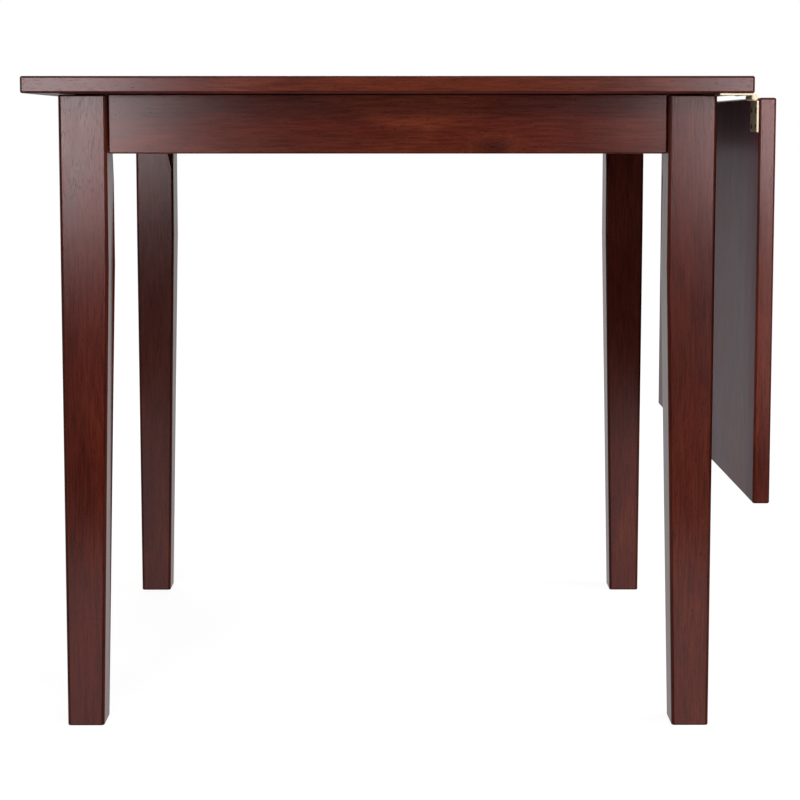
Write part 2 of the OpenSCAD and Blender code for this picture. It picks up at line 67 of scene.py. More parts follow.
# Thickness of the black cloth
CLOTH_THICK = 0.002
# Angle above which two faces meet in an arris, and below which they shade as one
ARRIS_ANGLE = math.radians(30)
# Angle to the nearest axis below which a face counts as flat, and not as part of a rounding
FLAT_ANGLE = math.radians(8)

# Patterns in the wood: how many spots a metre holds along the grain and across it
WANDER = (2.2, 7.0)
BANDS = (4.0, 26.0)
LINES = (26.0, 480.0)
BLOTCHES = (4.5, 15.0)
PORES = (140.0, 1150.0)
RING_SPOTS = (3.0, 30.0)
BARE_BANDS = (3.0, 55.0)
BARE_LINES = (12.0, 420.0)
BARE_PORES = (90.0, 1300.0)
# Growth rings of the walnut: the place of their pith, its lean along the grain, and their width
PITH = (0.07, 0.05)
PITH_LEAN = 0.03
RING_WIDTH = 0.0055
# Share of its distance along the grain that counts in a knot's reach, which draws the knot out
KNOT_LENGTH = 0.55
# How far a wandering fibre strays across the board and through it, and how much more round a knot
STRAY_ACROSS = 0.030
STRAY_DEEP = 0.022
KNOT_SWIRL = 0.9
# How far apart in the plank the staves of a board are taken, along it and across it
STAVE_JUMP = 9.0
STAVE_SPREAD = 0.11

# Metal: fine scratches and dull spots to a metre, and scratches along the brush marks
SCRATCHES = 2400.0
DULL_SPOTS = 90.0
BRASS_BRUSHED = 60.0
STEEL_BRUSHED = 120.0


# Settings

class TableWoodSettings(bpy.types.PropertyGroup):
    board_round: bpy.props.FloatProperty(
        name="Board rounding", description="Radius of the edges of the top and the leaf",
        default=0.0024, min=0.0005, max=0.006, unit="LENGTH",
    )
    leg_round: bpy.props.FloatProperty(
        name="Leg rounding", description="Radius of the arrises of the legs",
        default=0.0035, min=0.001, max=0.008, unit="LENGTH",
    )
    end_round: bpy.props.FloatProperty(
        name="Leg end rounding", description="Radius of the edges round the ends of the legs",
        default=0.0018, min=0.0005, max=0.004, unit="LENGTH",
    )
    apron_round: bpy.props.FloatProperty(
        name="Apron rounding", description="Radius of the edges of the aprons",
        default=0.0015, min=0.0005, max=0.004, unit="LENGTH",
    )
    taper_height: bpy.props.FloatProperty(
        name="Taper height", description="Height at which the inner faces of a leg start to taper",
        default=0.528, min=0.3, max=0.58, unit="LENGTH",
    )
    foot_width: bpy.props.FloatProperty(
        name="Foot width", description="Width of the square foot of a leg",
        default=0.042, min=0.034, max=0.048, unit="LENGTH",
    )
    chamfer_width: bpy.props.FloatProperty(
        name="Chamfer width", description="Width that the corner chamfer takes off each inner face",
        default=0.014, min=0.008, max=0.02, unit="LENGTH",
    )
    chamfer_run: bpy.props.FloatProperty(
        name="Chamfer run", description="Height over which the corner chamfer runs out",
        default=0.062, min=0.04, max=0.066, unit="LENGTH",
    )
    chamfer_drop: bpy.props.FloatProperty(
        name="Chamfer drop", description="How far the corner chamfer runs out below the aprons",
        default=0.044, min=0.02, max=0.06, unit="LENGTH",
    )
    bracket_steel: bpy.props.FloatProperty(
        name="Bracket steel", description="Thickness of the corner brackets",
        default=0.002, min=0.0015, max=0.003, unit="LENGTH",
    )
    cut_clearance: bpy.props.FloatProperty(
        name="Cut clearance", description="Room round the lip of a bracket in its saw cut",
        default=0.0002, min=0.0001, max=0.0005, unit="LENGTH",
    )
    bar_clearance: bpy.props.FloatProperty(
        name="Bar clearance", description="Room round a support bar in its notch",
        default=0.0005, min=0.0003, max=0.0008, unit="LENGTH",
    )
    stave_width: bpy.props.FloatProperty(
        name="Stave width", description="Width of the staves glued into the top and the leaf",
        default=0.096, min=0.05, max=0.2, unit="LENGTH",
    )
    knot: bpy.props.FloatVectorProperty(
        name="Knot", description="Place along X and Z of the knot in the front apron, and its reach",
        default=(0.107, 0.661, 0.022), subtype="XYZ", unit="LENGTH",
    )
    dark_stain: bpy.props.FloatVectorProperty(
        name="Dark stain", description="Colour of the darkest bands of the walnut",
        default=(0.024, 0.0030, 0.0013), min=0, max=1, subtype="COLOR",
    )
    red_stain: bpy.props.FloatVectorProperty(
        name="Red stain", description="Main colour of the stained walnut",
        default=(0.068, 0.0090, 0.0038), min=0, max=1, subtype="COLOR",
    )
    warm_stain: bpy.props.FloatVectorProperty(
        name="Warm stain", description="Colour of the palest, orange-brown bands of the walnut",
        default=(0.112, 0.0190, 0.0060), min=0, max=1, subtype="COLOR",
    )
    bare_light: bpy.props.FloatVectorProperty(
        name="Bare wood, light", description="Pale bands of the unstained inner wood",
        default=(0.50, 0.33, 0.19), min=0, max=1, subtype="COLOR",
    )
    bare_dark: bpy.props.FloatVectorProperty(
        name="Bare wood, dark", description="Dark bands of the unstained inner wood",
        default=(0.31, 0.17, 0.085), min=0, max=1, subtype="COLOR",
    )
    lacquer_roughness: bpy.props.FloatProperty(
        name="Lacquer roughness", description="Roughness of the satin lacquer",
        default=0.21, min=0.1, max=0.9, subtype="FACTOR",
    )
    inside_roughness: bpy.props.FloatProperty(
        name="Inside roughness", description="Roughness of the inner faces of the legs",
        default=0.36, min=0.1, max=0.9, subtype="FACTOR",
    )
    inside_level: bpy.props.FloatProperty(
        name="Inside reflection", description="Strength of the inner faces' reflection face on",
        default=0.23, min=0, max=1, subtype="FACTOR",
    )
    under_roughness: bpy.props.FloatProperty(
        name="Underside roughness", description="Roughness of the thinly lacquered undersides",
        default=0.5, min=0.1, max=0.9, subtype="FACTOR",
    )
    under_level: bpy.props.FloatProperty(
        name="Underside reflection", description="Strength of the undersides' reflection face on",
        default=0.17, min=0, max=1, subtype="FACTOR",
    )
    # Painted reflection: a bluish colour added to the undersides' base colour, standing in for the
    # grey gloss they show when seen at a glancing angle.
    under_painted_haze: bpy.props.FloatVectorProperty(
        name="Haze", description="Colour that the haze of the undersides' thin coat adds",
        default=(0.003, 0.002, 0.016), min=0, max=1, subtype="COLOR",
    )
    # Painted shade: the rounded arrises keep only this share of the wood's colour, which draws dark
    # lines along the edges.
    arris_painted_shade: bpy.props.FloatProperty(
        name="Arris stain", description="Share of its colour that the stained wood keeps at an arris",
        default=0.65, min=0, max=1, subtype="FACTOR",
    )
    arris_level: bpy.props.FloatProperty(
        name="Arris reflection", description="Strength of the reflection of the rounded arrises",
        default=0.08, min=0, max=1, subtype="FACTOR",
    )
    lacquer_tint: bpy.props.FloatVectorProperty(
        name="Lacquer tint", description="Colour of the lacquer's reflections",
        default=(1.0, 0.86, 0.89), min=0, max=1, subtype="COLOR",
    )
    lacquer_level: bpy.props.FloatProperty(
        name="Lacquer reflection", description="Strength of the lacquer's reflection face on",
        default=0.36, min=0, max=1, subtype="FACTOR",
    )


class TableMetalSettings(bpy.types.PropertyGroup):
    brass: bpy.props.FloatVectorProperty(
        name="Brass", description="Colour of the hinges",
        default=(0.62, 0.55, 0.41), min=0, max=1, subtype="COLOR",
    )
    steel: bpy.props.FloatVectorProperty(
        name="Steel", description="Colour of the brackets, bolts and screws",
        default=(0.56, 0.57, 0.58), min=0, max=1, subtype="COLOR",
    )
    plate_roughness: bpy.props.FloatProperty(
        name="Plate roughness", description="Roughness of the plates and pins of the hinges",
        default=0.46, min=0.1, max=0.9, subtype="FACTOR",
    )
    screw_roughness: bpy.props.FloatProperty(
        name="Screw roughness", description="Roughness of the screws of the hinges",
        default=0.20, min=0.1, max=0.9, subtype="FACTOR",
    )
    steel_roughness: bpy.props.FloatProperty(
        name="Steel roughness", description="Roughness of the brackets, bolts and steel screws",
        default=0.34, min=0.1, max=0.9, subtype="FACTOR",
    )


class TableStudioSettings(bpy.types.PropertyGroup):
    camera_place: bpy.props.FloatVectorProperty(
        name="Camera place", description="Place of the camera",
        default=(-0.00178, -2.457, 0.6848), subtype="TRANSLATION", unit="LENGTH",
    )
    camera_pitch: bpy.props.FloatProperty(
        name="Camera pitch", description="How far the camera looks down",
        default=math.radians(5.241), subtype="ANGLE",
    )
    camera_yaw: bpy.props.FloatProperty(
        name="Camera yaw", description="How far the camera turns to the right",
        default=math.radians(0.098), subtype="ANGLE",
    )
    camera_lens: bpy.props.FloatProperty(
        name="Lens", description="Focal length of the camera, in millimetres",
        default=85.09, min=20, max=200,
    )
    camera_shift: bpy.props.FloatProperty(
        name="Shift", description="Upward shift of the picture",
        default=-0.125, min=-0.5, max=0.5,
    )
    floor_size: bpy.props.FloatProperty(
        name="Floor size", description="Width of the studio floor",
        default=60, min=4, max=100, unit="LENGTH",
    )
    room_light: bpy.props.FloatProperty(
        name="Room light", description="Strength of the even light from all round",
        default=0.12, min=0, max=2,
    )
    curtain_width: bpy.props.FloatProperty(
        name="Curtain width", description="Width of the black curtain behind the camera",
        default=2.4, min=0.5, max=8, unit="LENGTH",
    )
    curtain_height: bpy.props.FloatProperty(
        name="Curtain height", description="Height of the black curtain behind the camera",
        default=3.5, min=0.5, max=6, unit="LENGTH",
    )
    curtain_y: bpy.props.FloatProperty(
        name="Curtain place", description="Where the black curtain hangs",
        default=-2.9, min=-6, max=-2.6, unit="LENGTH",
    )
    cloth_y: bpy.props.FloatProperty(
        name="Cloth edge", description="Where the black cloth ends on the floor before the table",
        default=-1.25, min=-2.5, max=-0.8, unit="LENGTH",
    )


# Shader maths

class Value:
    """A socket of a node tree. Python's own operators on it add Math nodes."""

    def __init__(self, nodes, socket):
        self.nodes = nodes
        self.socket = socket

    def _math(self, operation, first, second):
        return self.nodes.add("ShaderNodeMath", {"operation": operation}, {0: first, 1: second})

    def __add__(self, other):
        return self._math("ADD", self, other)

    def __radd__(self, other):
        return self._math("ADD", other, self)

    def __sub__(self, other):
        return self._math("SUBTRACT", self, other)

    def __rsub__(self, other):
        return self._math("SUBTRACT", other, self)

    def __mul__(self, other):
        return self._math("MULTIPLY", self, other)

    def __truediv__(self, other):
        return self._math("DIVIDE", self, other)

    def __pow__(self, other):
        return self._math("POWER", self, other)


class Nodes:
    """Adds nodes to one node tree."""

    def __init__(self, tree):
        self.tree = tree
        tree.nodes.clear()

    def add(self, kind, settings=None, sockets=None, output=0):
        """One node: its settings first, then the values or links of its sockets."""
        node = self.tree.nodes.new(kind)
        for name, setting in (settings or {}).items():
            if name == "stops":
                self._set_stops(node.color_ramp, setting)
            else:
                setattr(node, name, setting)
        for name, given in (sockets or {}).items():
            if isinstance(given, Value):
                self.tree.links.new(given.socket, node.inputs[name])
            else:
                node.inputs[name].default_value = given
        return Value(self, node.outputs[output]) if len(node.outputs) else node

    def _set_stops(self, ramp, stops):
        while len(ramp.elements) < len(stops):
            ramp.elements.new(1.0)
        for element, (place, colour) in zip(ramp.elements, stops):
            element.position = place
            element.color = colour

    def split(self, vector):
        """The three parts of a vector."""
        first = self.add("ShaderNodeSeparateXYZ", None, {0: vector})
        outputs = first.socket.node.outputs
        return [Value(self, outputs[axis]) for axis in (X, Y, Z)]

    def join(self, x, y, z):
        return self.add("ShaderNodeCombineXYZ", None, {0: x, 1: y, 2: z})

    def coordinates(self):
        """Where a point lies in its object's own axes."""
        return self.add("ShaderNodeTexCoord", output=3)

    def noise(self, vector, detail=3.0, rough=0.55, warp=0.0):
        settings = {"noise_dimensions": "3D"}
        sockets = {"Scale": 1.0, "Detail": detail, "Roughness": rough, "Distortion": warp}
        return self.add("ShaderNodeTexNoise", settings, {"Vector": vector, **sockets})

    def mix(self, factor, first, second, blend="MIX"):
        """A mix of two colours."""
        settings = {"data_type": "RGBA", "blend_type": blend}
        return self.add("ShaderNodeMix", settings, {0: factor, 6: first, 7: second}, output=2)

    def shaded(self, colour, shade):
        """A colour times a number."""
        return self.mix(1.0, colour, self.join(shade, shade, shade), "MULTIPLY")

    def ramp(self, value, low, high):
        """0 at low and below, 1 at high and above, with soft ends."""
        settings = {"interpolation_type": "SMOOTHSTEP"}
        return self.add("ShaderNodeMapRange", settings, {0: value, 1: low, 2: high, 3: 0.0, 4: 1.0})

    def bump(self, strength, distance, height):
        sockets = {"Strength": strength, "Distance": distance, "Height": height}
        return self.add("ShaderNodeBump", None, sockets)


def plain(colour):
    """A colour with full alpha, for a socket."""
    return (*colour, 1.0)


def grey(level):
    """A colour without hue, for a socket."""
    return (level, level, level, 1.0)


def new_material(name):
    material = bpy.data.materials.new(name)
    material.use_nodes = True
    return material, Nodes(material.node_tree)


def finish_material(nodes, **sockets):
    """The shader of a material, its sockets named in words joined by underscores."""
    wanted = {name.replace("_", " "): given for name, given in sockets.items()}
    shader = nodes.add("ShaderNodeBsdfPrincipled", None, wanted)
    nodes.add("ShaderNodeOutputMaterial", None, {"Surface": shader})


def grain_space(nodes, grain, place):
    """Coordinates of a wood pattern: along its grain, across it, and through the board."""
    order = {X: (X, Y, Z), Y: (Y, X, Z), Z: (Z, X, Y)}[grain]
    moved = nodes.add(
        "ShaderNodeMapping", {"vector_type": "POINT"},
        {"Vector": nodes.coordinates(), "Location": place},
    )
    parts = nodes.split(moved)
    return [parts[axis] for axis in order]


def stretched(nodes, parts, along, across):
    """A vector for a noise that is drawn out along the grain: spots per metre each way."""
    return nodes.join(parts[0] * along, parts[1] * across, parts[2] * across)


def growth_rings(nodes, parts, centre, slope, width):
    """Growth rings round a pith that runs nearly along the grain: 0 in spring wood, 1 in summer
    wood."""
    along, across, deep = parts
    side = across + centre[0]
    depth = deep + centre[1] + along * slope
    radius = (side * side + depth * depth) ** 0.5
    uneven = nodes.noise(stretched(nodes, parts, *RING_SPOTS), 2.0)
    turns = radius / width + uneven * 1.6
    ring = nodes.add("ShaderNodeMath", {"operation": "FRACT"}, {0: turns})
    return nodes.ramp(ring, 0.25, 0.90) * (1.0 - nodes.ramp(ring, 0.92, 1.0))


def walnut(name, wood, grain, coat, place=(0, 0, 0), depth=1.0, warmth=0.6,
           staves=0.0, across_axis=1, knot=None):
    """Stained walnut whose fibres run along the axis grain. coat says how it is finished: a face
    with satin lacquer, an inside with less, an underside with less and a darker colour that is
    painted shade plus an added painted reflection, or an arris whose darker colour and weaker
    reflection are painted shade. place is where in the plank it is cut, depth scales its colour,
    and warmth says how much of the palest stain it shows. A glued board has staves of that width,
    side by side across its grain where across_axis is 1, or through it where that is 2."""
    # Each coat: its roughness, its reflection, the share of the stain's colour that it keeps, and how
    # much its roughness mottles. The smaller shares of the underside and the arris are painted shade,
    # and so is the arris's weaker reflection.
    evenness, gloss, stain, mottle = {
        "face": (wood.lacquer_roughness, wood.lacquer_level, 1.0, 0.08),
        "inside": (wood.inside_roughness, wood.inside_level, 0.9, 0.12),
        "underside": (wood.under_roughness, wood.under_level, 0.65, 0.30),
        "arris": (wood.lacquer_roughness, wood.arris_level, wood.arris_painted_shade, 0.08),
    }[coat]
    material, nodes = new_material(name + "_" + coat)
    along, across, deep = grain_space(nodes, grain, place)

    # Each stave of a glued board is cut from another place of the plank
    tone = None
    if staves:
        face = (along, across, deep)[across_axis]
        number = nodes.add("ShaderNodeMath", {"operation": "FLOOR"}, {0: face / staves})
        tone = nodes.add("ShaderNodeTexWhiteNoise", {"noise_dimensions": "1D"}, {"W": number})
        along = along + tone * STAVE_JUMP
        within = face - number * staves
        shift = tone * STAVE_SPREAD - STAVE_SPREAD / 2
        if across_axis == 1:
            across = within + shift
        else:
            deep = within + shift

    # The fibres wander a little, and turn round a knot
    wander = nodes.noise(stretched(nodes, (along, across, deep), *WANDER), 2.0) - 0.5
    swirl = None
    if knot is not None:
        swirl = knot_field(nodes, knot)
        wander = wander + swirl * KNOT_SWIRL
    across = across + wander * STRAY_ACROSS
    deep = deep + wander * STRAY_DEEP
    parts = (along, across, deep)

    bands = nodes.noise(stretched(nodes, parts, *BANDS), 4.0, 0.55)
    lines = nodes.noise(stretched(nodes, parts, *LINES), 3.0, 0.60)
    blotches = nodes.noise(stretched(nodes, parts, *BLOTCHES), 3.0, 0.50, 0.6)
    pores = nodes.noise(stretched(nodes, parts, *PORES), 1.0, 0.5)
    late = growth_rings(nodes, parts, PITH, PITH_LEAN, RING_WIDTH)

    # The noises lie round 0.5, and a ramp picks the part of each that shows
    warm = nodes.ramp(blotches, 0.42, 0.66)
    if swirl is not None:
        warm = warm + swirl * (1.0 - swirl) * 3.0
    dark = nodes.ramp(bands, 0.60, 0.36)
    colour = nodes.mix(warm * warmth, plain(wood.red_stain), plain(wood.warm_stain))
    colour = nodes.mix(dark * 0.36, colour, plain(wood.dark_stain))
    shade = (nodes.ramp(lines, 0.34, 0.62) * 0.40 + 0.78) * (1.0 - late * 0.06)
    if tone is not None:
        shade = shade * (tone * 0.16 + 0.92)
    if swirl is not None:
        shade = shade * (1.0 - swirl * 0.3)
    pore = nodes.ramp(pores, 0.60, 0.72)
    # The share of colour is painted shade on the undersides and the arrises.
    full = stain * depth
    shade = shade * (full - pore * full * 0.50)
    colour = nodes.shaded(colour, shade)
    # Painted reflection: a bluish colour added to the undersides in place of their grey gloss.
    if coat == "underside":
        colour = nodes.mix(1.0, colour, plain(wood.under_painted_haze), "ADD")

    roughness = (lines - 0.5) * mottle + (blotches - 0.5) * 0.08 + evenness
    bump = nodes.bump(0.12, 0.0006, lines * 0.6 - pore * 0.3)
    finish_material(
        nodes, Base_Color=colour, Roughness=roughness, Normal=bump,
        Specular_IOR_Level=gloss, Specular_Tint=plain(wood.lacquer_tint),
    )
    return material


def knot_field(nodes, knot):
    """1 at a small knot, falling to 0 round it. knot is its place along X and Z, and its reach."""
    x, z, reach = knot
    across, _, up = nodes.split(nodes.coordinates())
    side = (across - x) * KNOT_LENGTH
    rise = up - z
    distance = (side * side + rise * rise) ** 0.5
    return nodes.ramp(distance, reach, 0.0)


def bare_wood(name, wood, grain, place=(0, 0, 0)):
    """Sanded, unstained hardwood of the inner parts."""
    material, nodes = new_material(name)
    parts = grain_space(nodes, grain, place)
    bands = nodes.noise(stretched(nodes, parts, *BARE_BANDS), 4.0, 0.55, 0.3)
    lines = nodes.noise(stretched(nodes, parts, *BARE_LINES), 3.0, 0.6)
    pores = nodes.noise(stretched(nodes, parts, *BARE_PORES), 1.0, 0.5)
    pore = nodes.ramp(pores, 0.60, 0.70)
    tone = nodes.ramp(bands * 0.65 + lines * 0.35, 0.36, 0.64)
    colour = nodes.mix(tone, plain(wood.bare_dark), plain(wood.bare_light))
    colour = nodes.shaded(colour, 1.0 - pore * 0.35)
    bump = nodes.bump(0.15, 0.0005, lines - pore)
    finish_material(nodes, Base_Color=colour, Roughness=0.62 + (lines - 0.5) * 0.1, Normal=bump)
    return material


def metal(name, colour, roughness, brushed):
    """Metal with brush marks along Y and duller spots from handling."""
    material, nodes = new_material(name)
    x, y, z = nodes.split(nodes.coordinates())
    scratches = nodes.noise(nodes.join(x * SCRATCHES, y * brushed, z * SCRATCHES), 2.0)
    dull = nodes.noise(nodes.join(x * DULL_SPOTS, y * DULL_SPOTS, z * DULL_SPOTS), 3.0)
    shade = 0.88 + (scratches - 0.5) * 0.16 + (dull - 0.5) * 0.22
    finish_material(
        nodes, Base_Color=nodes.shaded(plain(colour), shade), Metallic=1.0,
        Roughness=roughness + (dull - 0.5) * 0.12 + (scratches - 0.5) * 0.06,
        Normal=nodes.bump(0.06, 0.0002, scratches), Specular_Tint=plain(colour),
    )
    return material


# Modelling

def pick_nothing():
    for other in bpy.context.selected_objects:
        other.select_set(False)


def pick(obj):
    """Leaves obj as the only selected object, and the active one."""
    pick_nothing()
    obj.select_set(True)
    bpy.context.view_layer.objects.active = obj


def block(name, low, high):
    """A box between two corners, at the origin with its place in its mesh."""
    low, high = Vector(low), Vector(high)
    pick_nothing()
    bpy.ops.mesh.primitive_cube_add(size=1, location=(low + high) / 2)
    obj = bpy.context.object
    obj.name = name
    obj.scale = high - low
    bpy.ops.object.transform_apply(location=True, rotation=True, scale=True)
    return obj


def edit(obj, edges):
    """Enters edit mode with only those edges selected for which edges(start, end) is true."""
    pick(obj)
    bpy.ops.object.mode_set(mode="EDIT")
    bpy.context.tool_settings.mesh_select_mode = (False, True, False)
    bpy.ops.mesh.select_all(action="DESELECT")
    shape = bmesh.from_edit_mesh(obj.data)
    for edge in shape.edges:
        edge.select_set(bool(edges(edge.verts[0].co, edge.verts[1].co)))
    bmesh.update_edit_mesh(obj.data)


def leave_edit():
    bpy.ops.object.mode_set(mode="OBJECT")


def round_edges(obj, radius, edges=lambda start, end: True, segments=4):
    """Rounds the edges for which edges(start, end) is true."""
    edit(obj, edges)
    bpy.ops.mesh.bevel(offset=radius, segments=segments, affect="EDGES", clamp_overlap=True)
    leave_edit()


def cut(obj, cutter):
    """Takes the cutter's shape out of obj, and removes the cutter."""
    pick(obj)
    modifier = obj.modifiers.new("cut", "BOOLEAN")
    modifier.operation = "DIFFERENCE"
    modifier.solver = "EXACT"
    modifier.object = cutter
    bpy.ops.object.modifier_apply(modifier=modifier.name)
    bpy.data.objects.remove(cutter)


def smooth(obj):
    """Shades the roundings smooth and keeps the wide faces flat."""
    pick(obj)
    bpy.ops.object.shade_smooth_by_angle(angle=ARRIS_ANGLE)
    modifier = obj.modifiers.new("even", "WEIGHTED_NORMAL")
    modifier.keep_sharp = True
    modifier.weight = 100
    bpy.ops.object.modifier_apply(modifier=modifier.name)


def finish_wood(obj, node, body, wood, grain, thin=(), thin_coat="underside", **pattern):
    """Smooths a modelled wooden piece, coats its faces, and hides the node that it stands for.
    thin lists the directions of the faces that get the thinner coat."""
    smooth(obj)
    obj.data.materials.clear()
    coats = ["face", "arris"] + ([thin_coat] if thin else [])
    for coat in coats:
        obj.data.materials.append(walnut("walnut_" + node, wood, grain, coat, **pattern))
    for face in obj.data.polygons:
        # The rounded faces take the arris coat, painted shade along the edges.
        if max(abs(part) for part in face.normal) < math.cos(FLAT_ANGLE):
            face.material_index = coats.index("arris")
        elif any(face.normal.dot(Vector(way)) > math.cos(FLAT_ANGLE) for way in thin):
            face.material_index = coats.index(thin_coat)
    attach(obj, body)
    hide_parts(node)


def upright(start, end):
    """True for an edge that runs more up than sideways."""
    run = end - start
    return abs(run.z) > math.hypot(run.x, run.y)


# Boards

def make_board(name, node, body, wood, grain, **coats):
    """A flat board of glued staves with all its edges rounded."""
    low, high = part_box(node)
    board = block(name, low, high)
    round_edges(board, wood.board_round)
    finish_wood(board, node, body, wood, grain, staves=wood.stave_width, **coats)


class TABLE_OT_top(bpy.types.Operator):
    """Makes the fixed top of glued walnut staves"""
    bl_idname = "dining_table.top"
    bl_label = "Top"

    def execute(self, context):
        wood = context.scene.table_wood
        make_board(
            "top_board", "table_top", "table", wood, X,
            thin=[(0, 0, -1)], place=(0.31, 0.2, 0.07), across_axis=1,
        )
        return {"FINISHED"}


class TABLE_OT_leaf(bpy.types.Operator):
    """Makes the drop leaf of glued walnut staves"""
    bl_idname = "dining_table.leaf"
    bl_label = "Drop leaf"

    def execute(self, context):
        wood = context.scene.table_wood
        make_board(
            "leaf_board", "drop_leaf", "leaf", wood, Z,
            thin=[(-1, 0, 0)], place=(0.12, 0.6, 0.055), across_axis=2,
        )
        return {"FINISHED"}


# Aprons

def lip_cutter(apron, bracket, axis, settings):
    """The saw cut in an apron that takes the lip of a bracket, or None if they don't meet."""
    (apron_low, apron_high), (low, high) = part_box(apron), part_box(bracket)
    side = Y if axis == X else X
    if low[side] >= apron_high[side] or high[side] <= apron_low[side]:
        return None
    clear = settings.cut_clearance
    cut_low, cut_high = low.copy(), high.copy()
    if (low[axis] + high[axis]) / 2 < (apron_low[axis] + apron_high[axis]) / 2:
        cut_low[axis] = high[axis] - settings.bracket_steel
    else:
        cut_high[axis] = low[axis] + settings.bracket_steel
    if (low[side] + high[side]) / 2 > (apron_low[side] + apron_high[side]) / 2:
        cut_high[side] = apron_high[side] + PAST
    else:
        cut_low[side] = apron_low[side] - PAST
    room = Vector((clear, clear, clear))
    return block("lip_cutter", cut_low - room, cut_high + room)


def bar_cutter(bar, apron, settings):
    """The notch in the right apron through which a support bar slides."""
    (apron_low, apron_high), (low, high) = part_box(apron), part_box(bar)
    clear = settings.bar_clearance
    return block(
        "bar_cutter",
        (apron_low.x - PAST, low.y - clear, low.z - clear),
        (apron_high.x + PAST, high.y + clear, apron_high.z + PAST),
    )


class TABLE_OT_aprons(bpy.types.Operator):
    """Makes the four aprons, with their saw cuts and the notches of the support bars"""
    bl_idname = "dining_table.aprons"
    bl_label = "Aprons"

    def execute(self, context):
        wood = context.scene.table_wood
        for number, side in enumerate(SIDES):
            node = "apron_" + side
            axis = X if side in ("front", "back") else Y
            apron = block("rail_" + side, *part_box(node))
            round_edges(apron, wood.apron_round, segments=3)
            for corner in CORNERS:
                cutter = lip_cutter(node, "corner_bracket_" + corner, axis, wood)
                if cutter:
                    cut(apron, cutter)
            if side == "right":
                for half in HALVES:
                    cut(apron, bar_cutter("support_bar_" + half, node, wood))
            place = (0.43 * number + 0.1, 0.27 * number, 0.21 * number)
            knot = wood.knot if side == "front" else None
            finish_wood(apron, node, "table", wood, axis, place=place, warmth=0.85, knot=knot)
        return {"FINISHED"}


# Legs

def ways_in(node):
    """For a leg, whether the middle of the table lies up or down the X and Y axes: 1 or -1 each."""
    low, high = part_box(node)
    middle = (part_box("apron_left")[0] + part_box("apron_right")[1]) / 2
    return [1 if (low[axis] + high[axis]) / 2 < middle[axis] else -1 for axis in (X, Y)]


def make_leg(corner, settings):
    """One square leg: tapered on its inner faces, rounded, and chamfered behind its bracket."""
    node = "leg_" + corner
    low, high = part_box(node)
    inward = ways_in(node)
    inner = [high[axis] if inward[axis] > 0 else low[axis] for axis in (X, Y)]
    outer = [low[axis] if inward[axis] > 0 else high[axis] for axis in (X, Y)]
    leg = block("post_" + corner, low, high)

    # A ring of edges at the start of the taper, then the foot drawn in towards the outer faces
    edit(leg, lambda start, end: True)
    bpy.ops.mesh.bisect(plane_co=(0, 0, settings.taper_height), plane_no=(0, 0, 1))
    leave_edit()
    narrower = (high.x - low.x) - settings.foot_width
    for axis in (X, Y):
        def on_inner_foot(*ends, axis=axis):
            return all(p.z < NEAR and abs(p[axis] - inner[axis]) < NEAR for p in ends)
        edit(leg, on_inner_foot)
        move = [0, 0, 0]
        move[axis] = -inward[axis] * narrower
        bpy.ops.transform.translate(value=move)
        leave_edit()

    def on_end(*ends):
        return any(all(abs(p.z - level) < NEAR for p in ends) for level in (low.z, high.z))
    round_edges(leg, settings.leg_round, upright, segments=5)
    round_edges(leg, settings.end_round, on_end, segments=3)

    cut(leg, chamfer_cutter(outer, inward, high, settings))
    return leg


def chamfer_cutter(outer, inward, high, settings):
    """A wedge that takes off a leg's inner corner behind the bracket and runs out below it."""
    leg_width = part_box("leg_front_left")[1].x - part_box("leg_front_left")[0].x
    apron_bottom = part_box("apron_front")[0].z
    reach = leg_width * math.sqrt(2)
    face = reach - settings.chamfer_width / math.sqrt(2)
    run_out = apron_bottom - settings.chamfer_drop
    slope = settings.chamfer_width / math.sqrt(2) / settings.chamfer_run
    # Past the corner the wedge's underside goes on at the same slope
    past = reach + leg_width / 2
    low_end = run_out - (past - reach) / slope
    cutter = block("chamfer_cutter", (face, -leg_width, low_end), (past, leg_width, high.z + PAST))

    def on_inner_bottom(*ends):
        return all(abs(p.x - face) < NEAR and abs(p.z - low_end) < NEAR for p in ends)
    edit(cutter, on_inner_bottom)
    bpy.ops.transform.translate(value=(0, 0, run_out + settings.chamfer_run - low_end))
    leave_edit()
    pick(cutter)
    cutter.rotation_euler.z = math.atan2(inward[Y], inward[X])
    cutter.location = (outer[X], outer[Y], 0)
    bpy.ops.object.transform_apply(location=True, rotation=True, scale=True)
    return cutter


class TABLE_OT_legs(bpy.types.Operator):
    """Makes the four tapered legs"""
    bl_idname = "dining_table.legs"
    bl_label = "Legs"

    def execute(self, context):
        wood = context.scene.table_wood
        for number, corner in enumerate(CORNERS):
            leg = make_leg(corner, wood)
            place = (0.37 * number + 0.05, 0.23 * number, 0.31 * number)
            inward = ways_in("leg_" + corner)
            finish_wood(
                leg, "leg_" + corner, "table", wood, Z, thin=[(inward[X], 0, 0)],
                thin_coat="inside", place=place, depth=0.94, warmth=0.45,
            )
        return {"FINISHED"}


# Inner wood and metal, which keep the frame's own shapes

def dress(names, material):
    for name in names:
        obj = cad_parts[name]
        for slot in obj.material_slots:
            slot.material = material


class TABLE_OT_inner_wood(bpy.types.Operator):
    """Finishes the cleats, support bars, runners and keepers in bare wood"""
    bl_idname = "dining_table.inner_wood"
    bl_label = "Inner wood"

    def execute(self, context):
        wood = context.scene.table_wood
        along_x = ["cleat_front", "cleat_back"]
        along_x += ["support_bar_" + half for half in HALVES]
        for half in HALVES:
            along_x += [f"bar_runner_{half}_{beside}" for beside in ("outer", "inner")]
        dress(along_x, bare_wood("bare_wood_x", wood, X))
        along_y = ["cleat_right", "cleat_left"] + ["bar_keeper_" + half for half in HALVES]
        dress(along_y, bare_wood("bare_wood_y", wood, Y, (0.4, 0.1, 0.2)))
        pins = ["bar_stop_pin_" + half for half in HALVES]
        dress(pins, bare_wood("bare_wood_pins", wood, Z, (0.2, 0.5, 0.3)))
        return {"FINISHED"}


